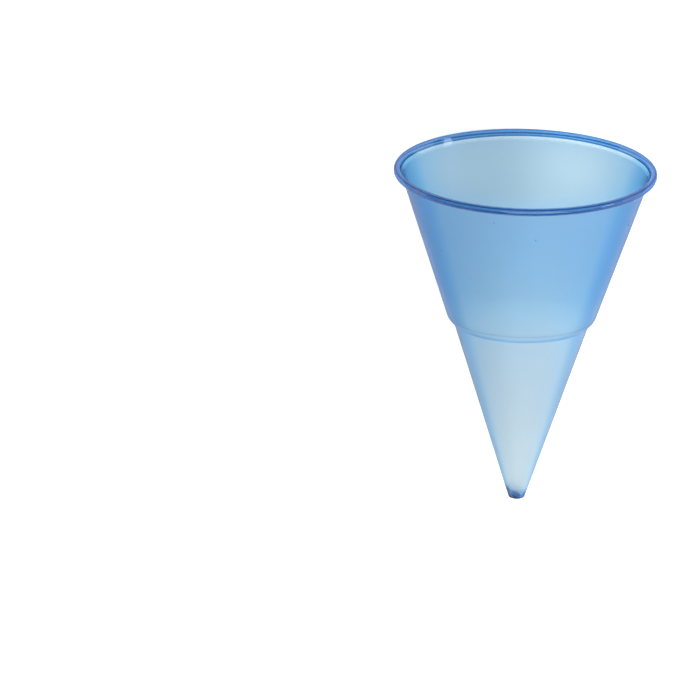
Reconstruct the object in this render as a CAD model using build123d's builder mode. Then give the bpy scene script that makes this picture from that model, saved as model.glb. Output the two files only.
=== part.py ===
"""Conical drinking cup, one thin-walled translucent plastic piece.

The cup is a single sheet of plastic: a rolled rim, an upper cone, a rounded
stacking shoulder about half way down, a lower cone of slightly smaller taper
and a small flat-ended tip where the plastic is thick. It can't stand on its
tip, so it lies on its side, on the rim bead and the edge of the tip.

Frame: millimetres, +Z up, floor at Z = 0, origin under the middle of the
cup's bounding box. The tip points to -Y and the mouth faces +Y, tipped up by
the lean of the axis. X is across the cup.

Section coordinates: r is the distance from the cup's axis, h the height above
the tip's end face, measured along the axis towards the mouth.
"""

from build123d import *
import math
import os

os.makedirs("parts", exist_ok=True)

# ---------------------------------------------------------------- dimensions
CUP_D = 73.0            # over the rim bead
CUP_H = 96.0            # tip face to the top of the rim, along the axis

BEAD_R = 1.05           # outside radius of the rolled rim's section
CURL_T = 0.30           # sheet thickness in the roll
CURL_END = -140.0       # where the roll stops, degrees in the section

UPPER_ANGLE = 18.53     # half angle of the upper cone, outside
UPPER_T = 0.25          # wall at the bottom of the upper cone
SHOULDER_TOP = 53.92    # h where the upper cone turns in
SHOULDER_LOW = 51.43    # h of the corner under the shoulder
SHOULDER_R = 18.86      # outside radius at that corner
SHOULDER_FILLET = 0.45  # outside corner under the shoulder

LOWER_ANGLE = 18.00     # half angle of the lower cone, outside
LOWER_T_TOP = 0.17      # wall just under the shoulder
LOWER_T_TIP = 0.12      # wall just above the thick tip

TIP_CORNER = 0.65       # outside corner radius round the tip face
TIP_FLOOR = 0.70
RING_T = 0.40
RING_TOP = 3.40
RING_LOW = 2.10         # h where it is as thick as it gets
FLOOR_FILLET = 0.40     # inside corner between the thick wall and the floor

# ------------------------------------------------------------ derived section
bead_c = (CUP_D / 2 - BEAD_R, CUP_H - BEAD_R)       # centre of the roll
curl_in = BEAD_R - CURL_T                           # inside radius of the roll

# outer face of the upper cone, tangent to the inside of the roll
ao = math.radians(UPPER_ANGLE)
o_top = (bead_c[0] - curl_in * math.cos(ao), bead_c[1] + curl_in * math.sin(ao))
o_low = (o_top[0] - math.tan(ao) * (o_top[1] - SHOULDER_TOP), SHOULDER_TOP)

# inner face of the upper cone, tangent to the outside of the roll and
# UPPER_T from the outer face at the shoulder
i_low = (o_low[0] - UPPER_T * math.cos(ao), o_low[1] + UPPER_T * math.sin(ao))
dr, dh = bead_c[0] - i_low[0], bead_c[1] - i_low[1]
ai = math.atan2(dr, dh) - math.asin(BEAD_R / math.hypot(dr, dh))
i_top = (bead_c[0] - BEAD_R * math.cos(ai), bead_c[1] + BEAD_R * math.sin(ai))

# lower cone, outer face down from the shoulder's corner
al = math.radians(LOWER_ANGLE)
tan_l = math.tan(al)
o_corner = (SHOULDER_R, SHOULDER_LOW)
r_at_face = SHOULDER_R - tan_l * SHOULDER_LOW       # run out to the tip plane
tip_flat = r_at_face + TIP_CORNER * (tan_l * (1 - math.sin(al)) - math.cos(al))
tip_tan = (tip_flat + TIP_CORNER * math.cos(al), TIP_CORNER * (1 - math.sin(al)))
half = math.radians(45) - al / 2
tip_mid = (tip_flat + TIP_CORNER * math.sin(half), TIP_CORNER * (1 - math.cos(half)))

# lower cone, inner face, thinning towards the tip
H_THIN = 4.0
k_top = r_at_face + tan_l * SHOULDER_LOW - LOWER_T_TOP / math.cos(al)
k_tip = r_at_face + tan_l * H_THIN - LOWER_T_TIP / math.cos(al)
tan_i = (k_top - k_tip) / (SHOULDER_LOW - H_THIN)
base_i = k_tip - tan_i * H_THIN                     # inner radius run to h = 0
ali = math.atan(tan_i)
i_corner = (base_i + tan_i * (SHOULDER_LOW + 0.13), SHOULDER_LOW + 0.13)

# inside of the thick tip: a step in the wall down to a flat floor
ring_top = (base_i + tan_i * RING_TOP, RING_TOP)
ring_low = (r_at_face + tan_l * RING_LOW - RING_T / math.cos(al), RING_LOW)
floor_out = (r_at_face + tan_l * TIP_FLOOR - RING_T / math.cos(al), TIP_FLOOR)


def on_roll(radius, degrees):
    """A point of the rolled rim's section at an angle from its centre."""
    a = math.radians(degrees)
    return (bead_c[0] + radius * math.cos(a), bead_c[1] + radius * math.sin(a))


roll_start_out = 180.0 - math.degrees(ai)
roll_start_in = 180.0 - math.degrees(ao)
end_mid = on_roll((curl_in + BEAD_R) / 2, CURL_END)
end_a = math.radians(CURL_END)
end_tip = (
    end_mid[0] + CURL_T / 2 * math.sin(end_a),
    end_mid[1] - CURL_T / 2 * math.cos(end_a),
)

# ---------------------------------------------------------------- lying pose
# The floor is the line that touches the bead and the corner of the tip.
d_r, d_h = bead_c[0] - tip_flat, bead_c[1] - TIP_CORNER
lean = math.atan2(d_r, d_h) + math.asin((BEAD_R - TIP_CORNER) / math.hypot(d_r, d_h))
cl, sl = math.cos(lean), math.sin(lean)
tip_z = TIP_CORNER + tip_flat * cl - TIP_CORNER * sl
reach_mouth = bead_c[1] * cl + bead_c[0] * sl + BEAD_R
reach_tip = TIP_CORNER * cl - tip_flat * sl - TIP_CORNER
tip_centre = Vector(0, -(reach_mouth + reach_tip) / 2, tip_z)
axis_dir = Vector(0, cl, sl)
section_plane = Plane(origin=tip_centre, x_dir=(1, 0, 0), z_dir=(0, -sl, cl))

# -------------------------------------------------------------------- the cup
with BuildPart() as cup:
    with BuildSketch(section_plane) as section:
        with BuildLine() as outline:
            # outside: tip face, lower cone, shoulder, upper cone
            Line((0, 0), (tip_flat, 0))
            ThreePointArc((tip_flat, 0), tip_mid, tip_tan)
            Line(tip_tan, o_corner)
            TangentArc(o_low, o_corner, tangent=(-math.sin(ao), -math.cos(ao)))
            Line(o_low, o_top)
            # the rolled rim: inside of the roll, its free end, outside of it
            ThreePointArc(
                o_top,
                on_roll(curl_in, (roll_start_in + CURL_END) / 2),
                on_roll(curl_in, CURL_END),
            )
            ThreePointArc(
                on_roll(curl_in, CURL_END), end_tip, on_roll(BEAD_R, CURL_END)
            )
            ThreePointArc(
                on_roll(BEAD_R, CURL_END),
                on_roll(BEAD_R, (roll_start_out + CURL_END) / 2),
                i_top,
            )
            # inside: upper cone, shoulder, lower cone, thick tip, floor
            Line(i_top, i_low)
            TangentArc(i_low, i_corner, tangent=(-math.sin(ai), -math.cos(ai)))
            Line(i_corner, ring_top)
            Line(ring_top, ring_low)
            Line(ring_low, floor_out)
            Line(floor_out, (0, TIP_FLOOR))
            Line((0, TIP_FLOOR), (0, 0))
        make_face()
        # soften the two corners under the shoulder
        near = section_plane.from_local_coords((SHOULDER_R, SHOULDER_LOW, 0))
        fillet(section.vertices().sort_by_distance(near)[0], SHOULDER_FILLET)
        near = section_plane.from_local_coords((i_corner[0], i_corner[1], 0))
        inner = section.vertices().filter_by(
            lambda v: (Vector(v) - near).length < 0.01
        )
        fillet(inner, SHOULDER_FILLET + LOWER_T_TOP)
        # and the inside corners of the thick tip
        for corner, radius in ((ring_top, 0.6), (ring_low, 0.5), (floor_out, FLOOR_FILLET)):
            near = section_plane.from_local_coords((corner[0], corner[1], 0))
            fillet(section.vertices().sort_by_distance(near)[0], radius)
    revolve(axis=Axis(tip_centre, axis_dir), revolution_arc=360)

cup.part.label = "cup"
export_step(cup.part, "parts/cup.step")

# ------------------------------------------------------------------- figures
box = cup.part.bounding_box()
print("lean of the axis", round(math.degrees(lean), 4), "degrees")
print("tip face centre", [round(v, 4) for v in tip_centre])
print("axis, tip to mouth", [round(v, 6) for v in axis_dir])
print("box", box.min, box.max)
print("solids", len(cup.part.solids()), "volume", round(cup.part.volume, 2), "mm3")
print("tip flat radius", round(tip_flat, 3), "tip corner to", [round(v, 3) for v in tip_tan])
print("floor of the inside, radius", round(floor_out[0], 3), "wall angle inside", round(math.degrees(ali), 3))
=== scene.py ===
"""Looks of the conical drinking cup: a thin translucent blue plastic cone with
a rolled rim, lying on its side on a pale floor, seen from above."""

import math

import bpy
import numpy as np
from mathutils import Matrix, Vector


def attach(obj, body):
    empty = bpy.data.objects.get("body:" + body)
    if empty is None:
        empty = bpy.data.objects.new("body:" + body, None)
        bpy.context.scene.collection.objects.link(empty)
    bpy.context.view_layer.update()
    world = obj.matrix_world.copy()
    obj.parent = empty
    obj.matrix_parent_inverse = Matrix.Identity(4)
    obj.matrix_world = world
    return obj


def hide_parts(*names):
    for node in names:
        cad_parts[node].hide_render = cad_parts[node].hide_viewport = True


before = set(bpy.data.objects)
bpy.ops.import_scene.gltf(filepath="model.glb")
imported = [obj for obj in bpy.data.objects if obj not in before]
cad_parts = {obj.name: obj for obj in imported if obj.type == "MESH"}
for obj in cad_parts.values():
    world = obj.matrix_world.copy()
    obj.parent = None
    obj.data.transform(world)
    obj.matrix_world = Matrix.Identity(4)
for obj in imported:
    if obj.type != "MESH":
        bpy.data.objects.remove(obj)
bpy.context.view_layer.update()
scene = bpy.context.scene
MM = 0.001

# ------------------------------------------------------------------ the cup
# Section in millimetres: r from the axis, h from the tip's end face.
CUP_D, CUP_H = 73.0, 96.0
BEAD_R, CURL_T, CURL_END = 1.05, 0.30, -140.0
UPPER_ANGLE, UPPER_T = 18.53, 0.25
SHOULDER_TOP, SHOULDER_LOW, SHOULDER_R, SHOULDER_FILLET = 53.92, 51.43, 18.86, 0.45
LOWER_ANGLE, LOWER_T_TOP, LOWER_T_TIP = 18.00, 0.17, 0.12
TIP_CORNER, TIP_FLOOR = 0.65, 0.70
RING_TOP, RING_LOW, RING_T, FLOOR_FILLET = 3.40, 2.10, 0.40, 0.40
TIP_SLANT = 0.28
SEGMENTS = 320

TIP = Vector((0.0, -50.8933, 2.0050)) * MM
AXIS = Vector((0.0, 0.940089, 0.340928)).normalized()


def arc(c, radius, a0, a1, n):
    """Points on an arc about c, from a0 to a1 in radians, without the first."""
    return [
        (c[0] + radius * math.cos(a0 + (a1 - a0) * k / n), c[1] + radius * math.sin(a0 + (a1 - a0) * k / n))
        for k in range(1, n + 1)
    ]


def run(p, q, n):
    """Points on a straight run from p to q, without the first."""
    return [(p[0] + (q[0] - p[0]) * k / n, p[1] + (q[1] - p[1]) * k / n) for k in range(1, n + 1)]


def tangent_arc(p, q, direction, n):
    """Points on the arc that leaves p along direction and ends in q."""
    nx, ny = -direction[1], direction[0]
    vx, vy = q[0] - p[0], q[1] - p[1]
    s = (vx * vx + vy * vy) / (2 * (vx * nx + vy * ny))
    c = (p[0] + nx * s, p[1] + ny * s)
    a0 = math.atan2(p[1] - c[1], p[0] - c[0])
    a1 = math.atan2(q[1] - c[1], q[0] - c[0])
    turn = (a1 - a0 + math.pi) % (2 * math.pi) - math.pi
    return arc(c, abs(s), a0, a0 + turn, n)


def rounded(points, i, radius, n):
    """points with the corner at index i rounded by cutting it with a curve."""
    p, c, q = (np.array(points[k]) for k in (i - 1, i, i + 1))
    u, v = (p - c) / np.linalg.norm(p - c), (q - c) / np.linalg.norm(q - c)
    half = math.acos(float(np.clip(u @ v, -1, 1))) / 2
    cut = min(radius / math.tan(half), 0.9 * np.linalg.norm(p - c), 0.9 * np.linalg.norm(q - c))
    a, b = c + u * cut, c + v * cut
    curve = [
        tuple((1 - t) ** 2 * a + 2 * t * (1 - t) * c + t * t * b)
        for t in (k / n for k in range(n + 1))
    ]
    return points[:i] + curve + points[i + 1 :]


def cup_section():
    """The closed section, from the tip's centre outside to its centre inside."""
    bead = (CUP_D / 2 - BEAD_R, CUP_H - BEAD_R)
    inside = BEAD_R - CURL_T
    ao = math.radians(UPPER_ANGLE)
    o_top = (bead[0] - inside * math.cos(ao), bead[1] + inside * math.sin(ao))
    o_low = (o_top[0] - math.tan(ao) * (o_top[1] - SHOULDER_TOP), SHOULDER_TOP)
    i_low = (o_low[0] - UPPER_T * math.cos(ao), o_low[1] + UPPER_T * math.sin(ao))
    dr, dh = bead[0] - i_low[0], bead[1] - i_low[1]
    ai = math.atan2(dr, dh) - math.asin(BEAD_R / math.hypot(dr, dh))
    i_top = (bead[0] - BEAD_R * math.cos(ai), bead[1] + BEAD_R * math.sin(ai))
    al = math.radians(LOWER_ANGLE)
    tl = math.tan(al)
    face = SHOULDER_R - tl * SHOULDER_LOW
    flat = face + TIP_CORNER * (tl * (1 - math.sin(al)) - math.cos(al))
    k_top = face + tl * SHOULDER_LOW - LOWER_T_TOP / math.cos(al)
    k_tip = face + tl * 4.0 - LOWER_T_TIP / math.cos(al)
    ti = (k_top - k_tip) / (SHOULDER_LOW - 4.0)
    base = k_tip - ti * 4.0
    ring = (face + tl * RING_LOW - RING_T / math.cos(al), RING_LOW)
    low = (face + tl * TIP_FLOOR - RING_T / math.cos(al), TIP_FLOOR)
    i_corner = (base + ti * (SHOULDER_LOW + 0.13), SHOULDER_LOW + 0.13)
    end = math.radians(CURL_END)

    pts = [(0.0, 0.0)]
    pts += run((0, 0), (flat, 0), 4)
    pts += arc((flat, TIP_CORNER), TIP_CORNER, -math.pi / 2, -al, 8)
    lower = run(pts[-1], (SHOULDER_R, SHOULDER_LOW), 26)
    pts += lower
    corner = len(pts) - 1
    shoulder = tangent_arc(o_low, (SHOULDER_R, SHOULDER_LOW), (-math.sin(ao), -math.cos(ao)), 10)
    pts += [o_low if k < 0 else shoulder[k] for k in range(len(shoulder) - 2, -1, -1)] + [o_low]
    pts = rounded(pts, corner, SHOULDER_FILLET, 5)
    pts += run(o_low, o_top, 26)
    pts += arc(bead, inside, math.pi - ao, end, 34)
    mid = (bead[0] + (inside + CURL_T / 2) * math.cos(end), bead[1] + (inside + CURL_T / 2) * math.sin(end))
    pts += arc(mid, CURL_T / 2, end + math.pi, end + 2 * math.pi, 5)
    pts += arc(bead, BEAD_R, end, math.pi - ai, 40)
    pts += run(i_top, i_low, 26)
    pts += tangent_arc(i_low, i_corner, (-math.sin(ai), -math.cos(ai)), 10)
    corner = len(pts) - 1
    ring_top = (base + ti * RING_TOP, RING_TOP)
    pts += run(i_corner, ring_top, 26)
    ends = len(pts) - 1
    pts += run(ring_top, ring, 4)
    step = len(pts) - 1
    pts += run(ring, low, 5)
    last = len(pts) - 1
    pts += run(low, (0.0, TIP_FLOOR), 5)
    for i, radius, n in ((last, FLOOR_FILLET, 6), (step, 0.5, 5), (ends, 0.6, 5), (corner, SHOULDER_FILLET + LOWER_T_TOP, 5)):
        pts = rounded(pts, i, radius, n)
    return pts


def waviness(angle, h):
    """How far the wall stands off its true cone, in mm, as a formed wall does."""
    fade = np.clip((h - 6.0) / 18.0, 0, 1) * np.clip((CUP_H - 1.0 - h) / 8.0, 0, 1)
    return fade * (
        0.012 * np.sin(3 * angle + 0.7 + 0.05 * h)
        + 0.008 * np.sin(5 * angle + 2.1 - 0.09 * h)
        + 0.006 * np.sin(2 * angle + 4.0 + 0.21 * h)
        + 0.002 * np.sin(9 * angle + 1.3 + 0.13 * h)
    )


def build_cup():
    section = np.array(cup_section())
    x_dir = Vector((1.0, 0.0, 0.0))
    up_dir = x_dir.cross(AXIS).normalized()  # away from the floor
    ang = (np.arange(SEGMENTS) + 0.5) * 2 * math.pi / SEGMENTS
    inner = section[1:-1]
    r = inner[:, 0][:, None] + waviness(ang[None, :], inner[:, 1][:, None])
    h = np.repeat(inner[:, 1][:, None], SEGMENTS, 1)
    # the thick part of the tip reaches higher on one side
    inside = np.arange(len(inner)) > len(inner) // 2
    shift = -TIP_SLANT * np.clip((5.0 - h) / 2.0, 0, 1) * inside[:, None] * r * np.cos(ang)[None, :]
    r = r + shift * math.tan(math.radians(LOWER_ANGLE)) * np.clip((h - TIP_FLOOR) / 0.4, 0, 1)
    h = h + shift
    t, a, x, u = (np.array(v) for v in (TIP, AXIS, x_dir, up_dir))
    pts = (
        t
        + (h * MM)[..., None] * a
        + (r * MM * np.cos(ang))[..., None] * x
        + (r * MM * np.sin(ang))[..., None] * u
    )
    rows = len(inner)
    verts = [tuple(p) for p in pts.reshape(-1, 3)]
    verts.append(tuple(t))
    verts.append(tuple(t + a * section[-1][1] * MM))
    faces = []
    for i in range(rows - 1):
        for j in range(SEGMENTS):
            k = (j + 1) % SEGMENTS
            faces.append((i * SEGMENTS + j, i * SEGMENTS + k, (i + 1) * SEGMENTS + k, (i + 1) * SEGMENTS + j))
    first, last, end = rows * SEGMENTS, rows * SEGMENTS + 1, (rows - 1) * SEGMENTS
    for j in range(SEGMENTS):
        k = (j + 1) % SEGMENTS
        faces.append((first, k, j))
        faces.append((last, end + j, end + k))
    mesh = bpy.data.meshes.new("cone_cup")
    mesh.from_pydata(verts, [], faces)
    mesh.validate()
    mesh.update()
    for poly in mesh.polygons:
        poly.use_smooth = True
    # normals out of the plastic
    import bmesh

    bm = bmesh.new()
    bm.from_mesh(mesh)
    bmesh.ops.recalc_face_normals(bm, faces=bm.faces)
    if bm.calc_volume(signed=True) < 0:
        bmesh.ops.reverse_faces(bm, faces=bm.faces)
    bm.to_mesh(mesh)
    bm.free()
    # along-the-axis coordinate for the material, stored on the mesh
    height = mesh.attributes.new("height_mm", "FLOAT", "POINT")
    co = np.empty(len(mesh.vertices) * 3)
    mesh.vertices.foreach_get("co", co)
    co = co.reshape(-1, 3)
    along = (co - t) @ a / MM
    height.data.foreach_set("value", along.astype(np.float32))
    # angle round the rolled rim's section; the wall counts as 180
    out = np.linalg.norm((co - t) - np.outer(along * MM, a), axis=1) / MM
    dr, dh = out - (CUP_D / 2 - BEAD_R), along - (CUP_H - BEAD_R)
    turn = np.degrees(np.arctan2(dh, dr))
    turn = np.where((np.hypot(dr, dh) < BEAD_R + 0.03) & (turn > -150.0), turn, 180.0)
    roll = mesh.attributes.new("roll_deg", "FLOAT", "POINT")
    roll.data.foreach_set("value", turn.astype(np.float32))
    obj = bpy.data.objects.new("cone_cup", mesh)
    scene.collection.objects.link(obj)
    return obj


# ---------------------------------------------------------------- materials
class Nodes:
    """A short way to write a node tree."""

    def __init__(self, name):
        self.mat = bpy.data.materials.new(name)
        self.mat.use_nodes = True
        self.tree = self.mat.node_tree
        self.tree.nodes.clear()
        self.out = self.new("ShaderNodeOutputMaterial")

    def new(self, kind, **values):
        node = self.tree.nodes.new(kind)
        for key, value in values.items():
            if hasattr(node, key):
                setattr(node, key, value)
            else:
                node.inputs[key.replace("_", " ")].default_value = value
        return node

    def link(self, a, b):
        self.tree.links.new(a, b)

    def math(self, op, a, b=None, c=None, clamp=False):
        node = self.new("ShaderNodeMath", operation=op, use_clamp=clamp)
        for i, v in enumerate((a, b, c)):
            if v is None:
                continue
            if hasattr(v, "links"):
                self.link(v, node.inputs[i])
            else:
                node.inputs[i].default_value = v
        return node.outputs[0]

    def ramp(self, value, stops, mode="LINEAR"):
        node = self.new("ShaderNodeValToRGB")
        node.color_ramp.interpolation = mode
        els = node.color_ramp.elements
        while len(els) < len(stops):
            els.new(0.5)
        for el, (pos, col) in zip(els, stops):
            el.position = pos
            el.color = (*col, 1.0) if len(col) == 3 else col
        self.link(value, node.inputs[0])
        return node.outputs[0]

    def between(self, value, a, b, c=0.0, d=1.0):
        node = self.new("ShaderNodeMapRange", clamp=True)
        self.link(value, node.inputs["Value"])
        node.inputs["From Min"].default_value = a
        node.inputs["From Max"].default_value = b
        node.inputs["To Min"].default_value = c
        node.inputs["To Max"].default_value = d
        return node.outputs[0]


# the plastic, by height along the axis in mm: colour and share of clear plastic
TINT = [
    (0.0, (0.48, 0.76, 0.90)),
    (0.9, (0.60, 0.82, 0.92)),
    (2.0, (0.92, 0.94, 0.92)),
    (15.0, (0.905, 0.925, 0.91)),
    (35.0, (0.86, 0.895, 0.90)),
    (50.0, (0.83, 0.90, 0.92)),
    (57.0, (0.74, 0.90, 0.955)),
    (66.0, (0.62, 0.86, 0.975)),
    (93.2, (0.615, 0.855, 0.98)),
    (93.5, (0.76, 0.93, 1.00)),
    (93.9, (0.76, 0.93, 1.00)),
    (94.5, (0.58, 0.84, 1.00)),
    (96.0, (0.58, 0.84, 1.00)),
]
# how much deeper the wall's colour is where it is looked along, not through: partly the longer path through the
# plastic, partly painted shade that darkens the cup's sides
GRAZING_TINT_AND_SHADE = [
    (0.00, (1.00, 1.00, 1.00)),
    (0.22, (0.98, 0.99, 1.00)),
    (0.36, (0.88, 0.97, 1.03)),
    (0.45, (0.82, 0.96, 1.05)),
    (0.54, (0.51, 0.83, 1.05)),
    (0.62, (0.42, 0.76, 1.04)),
    (0.74, (0.44, 0.76, 1.06)),
    (0.84, (0.23, 0.51, 0.89)),
    (1.00, (0.02, 0.20, 0.54)),
]
# the thick tip is near navy round its outline: partly its long path through the plastic, partly painted shade where it
# bends light like a lens
TIP_EDGE_TINT_AND_SHADE = [
    (0.00, (1.00, 1.00, 1.00)),
    (0.36, (0.95, 0.98, 1.00)),
    (0.54, (0.10, 0.38, 0.66)),
    (1.00, (0.02, 0.20, 0.46)),
]
# painted shade on the rolled rim, by the angle round its section (0 outwards, 90 up, -90 down): dark lines where its
# curled sheet is seen edge-on
ROLL_SHADE_LINES = [
    (-140.0, (0.90, 0.95, 1.00)),
    (-46.0, (1.00, 1.00, 1.00)),
    (-33.0, (0.10, 0.29, 0.58)),
    (-16.0, (0.10, 0.29, 0.58)),
    (-4.0, (1.00, 1.00, 1.00)),
    (36.0, (1.00, 1.00, 1.00)),
    (46.0, (0.10, 0.29, 0.58)),
    (59.0, (0.10, 0.29, 0.58)),
    (74.0, (0.84, 0.92, 1.00)),
    (104.0, (1.00, 1.00, 1.00)),
    (180.0, (1.00, 1.00, 1.00)),
]
# dark specks in the wall, in metres
SPECKS = [(-0.008272, 0.023231, 0.063039), (0.003299, 0.018836, 0.060607), (-0.022419, 0.015728, 0.045346)]
SPECK_R = 0.00022
CLEAR_UPPER, CLEAR_LOWER = 0.72, 0.84
SATIN, GLOSS = 0.30, 0.03
ABSORB_COLOUR, ABSORB_DENSITY = (0.0, 0.40, 0.68), 1500.0
PLASTIC_IOR = 1.12


def cup_material():
    n = Nodes("translucent_blue_plastic")
    coord = n.new("ShaderNodeTexCoord").outputs["Object"]
    height = n.new("ShaderNodeAttribute", attribute_type="GEOMETRY", attribute_name="height_mm").outputs["Fac"]

    cloud = n.new("ShaderNodeTexNoise", Scale=55.0, Detail=3.0, Roughness=0.55)
    n.link(coord, cloud.inputs["Vector"])
    uneven = n.math("SUBTRACT", cloud.outputs[0], 0.5)
    grain = n.new("ShaderNodeTexNoise", Scale=2600.0, Detail=2.0, Roughness=0.6)
    n.link(coord, grain.inputs["Vector"])

    shader = n.new("ShaderNodeBsdfPrincipled")
    along = n.math("ADD", n.math("DIVIDE", height, 96.0), n.math("MULTIPLY", n.math("MULTIPLY", uneven, n.math("MULTIPLY", n.between(height, 4.0, 14.0), n.between(height, 86.0, 92.0, 1.0, 0.0))), 0.12))
    colour = n.ramp(along, [(h / 96.0, c) for h, c in TINT])
    seen = n.new("ShaderNodeLayerWeight", Blend=0.5).outputs["Facing"]
    # deepen the colour where the wall is seen aslant: partly the longer path through the plastic, partly painted shade
    # on the cup's sides
    deeper = n.new("ShaderNodeMix", data_type="RGBA", blend_type="MULTIPLY")
    roll_at = n.new("ShaderNodeAttribute", attribute_type="GEOMETRY", attribute_name="roll_deg").outputs["Fac"]
    # painted highlight along the top of the rolled rim, where the darkening is eased
    lip_highlight = n.math("MULTIPLY", n.between(height, 94.2, 94.8), n.between(roll_at, 75.0, 100.0))
    n.link(n.math("SUBTRACT", n.between(height, 44.0, 62.0, 0.56, 1.0), n.math("MULTIPLY", lip_highlight, 0.65)), deeper.inputs["Factor"])
    n.link(colour, deeper.inputs["A"])
    n.link(n.ramp(seen, GRAZING_TINT_AND_SHADE), deeper.inputs["B"])
    place = n.new("ShaderNodeSeparateXYZ")
    n.link(coord, place.inputs[0])
    level = n.math("ADD", height, n.math("MULTIPLY", place.outputs[0], 320.0))
    # the thick tip darkened round its outline: partly absorption, partly painted shade
    outline = n.new("ShaderNodeMix", data_type="RGBA", blend_type="MULTIPLY")
    n.link(n.between(level, 2.1, 2.8, 1.0, 0.0), outline.inputs["Factor"])
    n.link(deeper.outputs["Result"], outline.inputs["A"])
    n.link(n.ramp(seen, TIP_EDGE_TINT_AND_SHADE), outline.inputs["B"])
    # painted shade: dark lines round the rolled rim
    rim_shaded = n.new("ShaderNodeMix", data_type="RGBA", blend_type="MULTIPLY")
    rim_shaded.inputs["Factor"].default_value = 1.0
    n.link(outline.outputs["Result"], rim_shaded.inputs["A"])
    n.link(n.ramp(n.between(roll_at, -180.0, 180.0), [((a + 180.0) / 360.0, c) for a, c in ROLL_SHADE_LINES]), rim_shaded.inputs["B"])
    # painted shade along the crease at the top of the shoulder, and a few dark specks
    shoulder_shade = n.math("DIVIDE", n.math("SUBTRACT", height, 53.7), 0.30)
    shoulder_shade = n.math("EXPONENT", n.math("MULTIPLY", n.math("MULTIPLY", shoulder_shade, shoulder_shade), -1.0))
    # painted shade on the crease first; the specks are the plastic's own dark marks
    specks_and_shoulder_shade = n.math("MULTIPLY", shoulder_shade, 0.22)
    for at in SPECKS:
        gap = n.new("ShaderNodeVectorMath", operation="DISTANCE")
        n.link(coord, gap.inputs[0])
        gap.inputs[1].default_value = at
        specks_and_shoulder_shade = n.math("MAXIMUM", specks_and_shoulder_shade, n.between(gap.outputs["Value"], SPECK_R * 0.4, SPECK_R * 1.4, 0.75, 0.0))
    specked_and_shaded = n.new("ShaderNodeMix", data_type="RGBA", blend_type="MULTIPLY")
    n.link(specks_and_shoulder_shade, specked_and_shaded.inputs["Factor"])
    n.link(rim_shaded.outputs["Result"], specked_and_shaded.inputs["A"])
    specked_and_shaded.inputs["B"].default_value = (0.18, 0.26, 0.42, 1.0)
    n.link(specked_and_shaded.outputs["Result"], shader.inputs["Base Color"])

    # the roll and the thick tip are clear and glossy, the wall is satin
    roll = n.between(height, 93.2, 94.2, 0.0, 1.0)
    tip = n.between(height, 1.6, 3.2, 1.0, 0.0)
    clear = n.math("MAXIMUM", roll, tip)
    rough = n.new("ShaderNodeMix", data_type="FLOAT")
    n.link(clear, rough.inputs["Factor"])
    n.link(n.math("ADD", SATIN, n.math("MULTIPLY", uneven, 0.12)), rough.inputs["A"])
    rough.inputs["B"].default_value = GLOSS
    n.link(rough.outputs["Result"], shader.inputs["Roughness"])
    wall = n.between(height, 48.0, 58.0, CLEAR_LOWER, CLEAR_UPPER)
    share = n.new("ShaderNodeMix", data_type="FLOAT")
    n.link(clear, share.inputs["Factor"])
    n.link(wall, share.inputs["A"])
    share.inputs["B"].default_value = 0.93
    n.link(share.outputs["Result"], shader.inputs["Transmission Weight"])
    shader.inputs["IOR"].default_value = PLASTIC_IOR
    n.link(n.math("MULTIPLY", n.between(clear, 0.0, 1.0, 0.04, 0.80), n.between(seen, 0.35, 0.75, 1.0, 0.0)), shader.inputs["Coat Weight"])
    shader.inputs["Coat Roughness"].default_value = 0.05
    shader.inputs["Coat IOR"].default_value = 1.5
    bump = n.new("ShaderNodeBump", Strength=0.10, Distance=0.00002)
    n.link(n.math("MULTIPLY", grain.outputs[0], n.math("SUBTRACT", 1.0, clear)), bump.inputs["Height"])
    n.link(bump.outputs[0], shader.inputs["Normal"])
    n.link(shader.outputs[0], n.out.inputs["Surface"])
    absorb = n.new("ShaderNodeVolumeAbsorption")
    absorb.inputs["Color"].default_value = (*ABSORB_COLOUR, 1.0)
    absorb.inputs["Density"].default_value = ABSORB_DENSITY
    n.link(absorb.outputs[0], n.out.inputs["Volume"])
    return n.mat


FLOOR_GLOW, POOL_GLOW, WORLD_LIGHT = 0.63, 0.47, 0.16
TOP_WATTS = 18.0
SIDE_WATTS = 2.2


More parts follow.
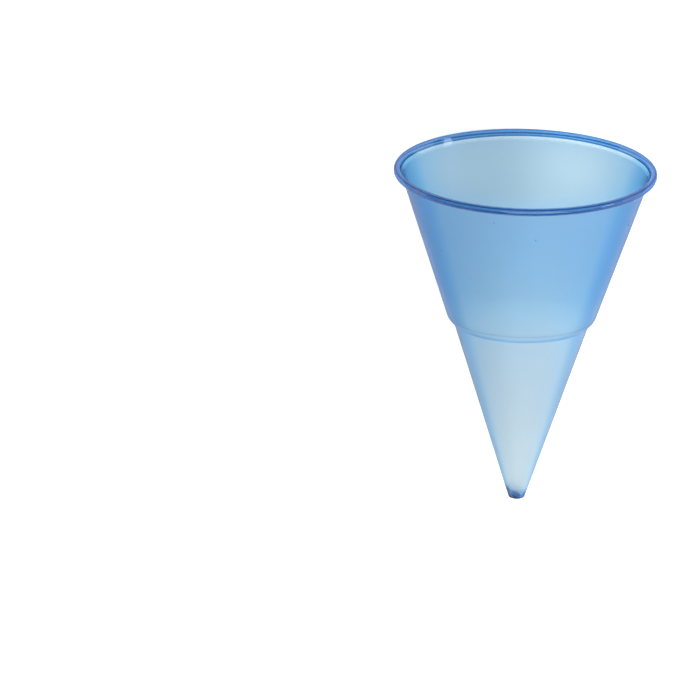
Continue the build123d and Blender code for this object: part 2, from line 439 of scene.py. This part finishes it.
def floor_material():
    n = Nodes("pale_floor")
    shader = n.new("ShaderNodeBsdfPrincipled", Roughness=0.9)
    shader.inputs["Base Color"].default_value = (0.92, 0.92, 0.92, 1)
    shader.inputs["Specular IOR Level"].default_value = 0.1
    shader.inputs["Emission Color"].default_value = (1, 1, 1, 1)
    # a soft pool of light under the middle of the cup
    at = n.new("ShaderNodeTexCoord").outputs["Object"]
    part = n.new("ShaderNodeSeparateXYZ")
    n.link(at, part.inputs[0])
    width = n.between(part.outputs[1], -0.02, 0.02, 0.027, 0.0195)
    across = n.math("SUBTRACT", n.math("DIVIDE", part.outputs[0], width), n.between(part.outputs[1], -0.02, 0.03, 0.28, 0.52))
    away = n.math("ADD", n.math("POWER", n.math("ABSOLUTE", across), 2.0),
                  n.math("POWER", n.math("ABSOLUTE", n.math("DIVIDE", part.outputs[1], 0.075)), 6.0))
    pool = n.math("MULTIPLY", n.math("EXPONENT", n.math("MULTIPLY", away, -1.0)), POOL_GLOW)
    pool = n.math("MULTIPLY", pool, n.between(part.outputs[1], -0.03, 0.01, 0.70, 1.0))

    def glow_spot(x, y, wide, deep, power, strength):
        u = n.math("POWER", n.math("ABSOLUTE", n.math("DIVIDE", n.math("SUBTRACT", part.outputs[0], x), wide)), power)
        v = n.math("POWER", n.math("ABSOLUTE", n.math("DIVIDE", n.math("SUBTRACT", part.outputs[1], y), deep)), power)
        return n.math("MULTIPLY", n.math("EXPONENT", n.math("MULTIPLY", n.math("ADD", u, v), -1.0)), strength)

    # and a painted glow under the mouth: an orange-tinted area and two brighter places
    u = n.math("POWER", n.math("DIVIDE", n.math("ABSOLUTE", n.math("SUBTRACT", part.outputs[0], 0.0005)), 0.0345), 2.0)
    v = n.math("POWER", n.math("DIVIDE", n.math("ABSOLUTE", n.math("SUBTRACT", part.outputs[1], 0.0393)), 0.0112), 2.0)
    warm_glow = n.math("EXPONENT", n.math("MULTIPLY", n.math("POWER", n.math("ADD", u, v), 3.0), -1.0))
    glow_patch = n.math("ADD", n.math("MULTIPLY", warm_glow, 0.26), glow_spot(0.016, 0.041, 0.012, 0.010, 2.0, 0.60))
    glow_patch = n.math("ADD", glow_patch, glow_spot(-0.022, 0.039, 0.012, 0.010, 2.0, 0.36))
    glow = n.math("ADD", n.math("ADD", pool, glow_patch), FLOOR_GLOW)
    glow_hue = n.new("ShaderNodeMix", data_type="RGBA")
    n.link(warm_glow, glow_hue.inputs["Factor"])
    glow_hue.inputs["A"].default_value = (1, 1, 1, 1)
    glow_hue.inputs["B"].default_value = (1.0, 0.73, 0.54, 1)
    n.link(glow_hue.outputs["Result"], shader.inputs["Emission Color"])
    n.link(glow, shader.inputs["Emission Strength"])
    n.link(shader.outputs[0], n.out.inputs["Surface"])
    return n.mat


cup = build_cup()
cup.data.materials.append(cup_material())
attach(cup, "root")
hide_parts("cup")

# -------------------------------------------------------------------- stage
floor_mesh = bpy.data.meshes.new("floor")
S = 6.0
floor_mesh.from_pydata([(-S, -S, 0), (S, -S, 0), (S, S, 0), (-S, S, 0)], [], [(0, 1, 2, 3)])
floor = bpy.data.objects.new("floor", floor_mesh)
floor.location.z = -0.00005
scene.collection.objects.link(floor)
floor_mesh.materials.append(floor_material())

world = bpy.data.worlds.new("studio")
scene.world = world
world.use_nodes = True
world.node_tree.nodes["Background"].inputs["Color"].default_value = (0.96, 0.98, 1.0, 1)
world.node_tree.nodes["Background"].inputs["Strength"].default_value = WORLD_LIGHT


def softbox(name, at, look, size, watts, colour=(1, 1, 1)):
    light = bpy.data.lights.new(name, "AREA")
    light.shape = "RECTANGLE"
    light.size, light.size_y = size
    light.energy = watts
    light.color = colour
    obj = bpy.data.objects.new(name, light)
    obj.location = at
    obj.rotation_euler = (Vector(look) - Vector(at)).to_track_quat("-Z", "Y").to_euler()
    obj.visible_camera = False
    scene.collection.objects.link(obj)
    return obj


softbox("top", (0.25, -0.75, 1.25), (0, 0, 0.03), (1.5, 1.3), TOP_WATTS)
softbox("side", (1.20, 0.10, 0.36), (0, 0.03, 0.03), (0.80, 0.20), SIDE_WATTS)

# ------------------------------------------------------------------- camera
camera = bpy.data.cameras.new("camera")
camera.lens = 1116.6
camera.sensor_width = 36.0
camera.clip_start, camera.clip_end = 0.05, 20.0
eye = bpy.data.objects.new("camera", camera)
right = Vector((0.99957213, 0.02831913, -0.00721437))
up = Vector((-0.0281454, 0.99933561, 0.02313885))
back = Vector((0.00786485, -0.02292592, 0.99970584))
turn = Matrix((right, up, back)).transposed().to_4x4()
eye.matrix_world = Matrix.Translation((0.0000863, -0.149676, 6.031464)) @ turn
scene.collection.objects.link(eye)
scene.camera = eye

scene.view_settings.view_transform = "Standard"
scene.view_settings.look = "None"
scene.view_settings.exposure = 0.0
scene.view_settings.gamma = 1.0
